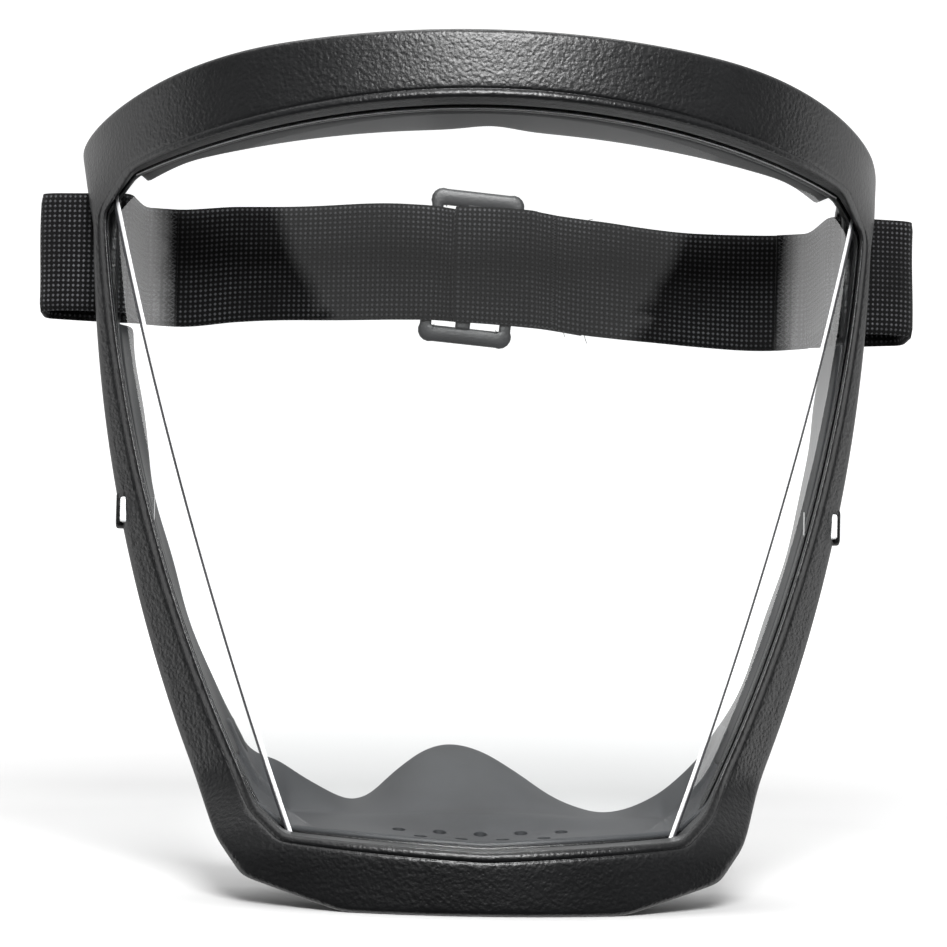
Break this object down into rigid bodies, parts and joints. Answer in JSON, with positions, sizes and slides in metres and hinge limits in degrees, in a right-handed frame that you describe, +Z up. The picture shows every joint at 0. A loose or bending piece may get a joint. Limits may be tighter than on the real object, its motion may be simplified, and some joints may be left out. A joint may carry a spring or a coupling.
{
  "type": "face shield",
  "caption": "Full face shield: faceted clear lens in a moulded frame with a soft seal, vented chin cup and elastic strap with slider.",
  "frame": {"origin": "middle of the box's bottom, where the chin stands", "axes": "+Z up along the face, +X across the face, +Y back towards the head; the front faces -Y"},
  "size_m": [0.265, 0.1018, 0.238],
  "materials": {
    "frame": "moulded, fine leather grain, satin",
    "lens": "clear polycarbonate, polished",
    "seal": "soft, smooth matte",
    "cup": "soft, matte",
    "webbing": "woven elastic, diamond weave",
    "thread": "polyester thread, stitched",
    "slider": "moulded acetal, satin"
  },
  "bodies": {
    "shield": {"outer_frame": "frame", "lens": "lens", "brow_seal": "seal", "left_cheek_seal": "seal", "right_cheek_seal": "seal", "chin_cup": "cup", "left_strap_loop": "webbing", "right_strap_loop": "webbing"},
    "strap": {"left_strap_back": "webbing", "right_strap_back": "webbing", "left_bar_tack": "thread", "right_bar_tack": "thread"},
    "slider": {"strap_slider": "slider", "left_strap_tail": "webbing", "right_strap_end": "webbing", "folded_strap_end": "webbing", "fold_seam": "thread"}
  },
  "joints": [
    {"name": "strap_stretch", "type": "slide", "parent": "shield", "child": "strap", "axis": [0, 1, 0], "range_m": [0, 0.06], "stiffness_N_per_m": 130, "deforming": ["left_strap_loop", "right_strap_loop"]},
    {"name": "slider_slide", "type": "slide", "parent": "strap", "child": "slider", "axis": [1, 0, 0], "range_m": [-0.018, 0.018], "deforming": ["left_strap_tail", "right_strap_end"]}
  ]
}
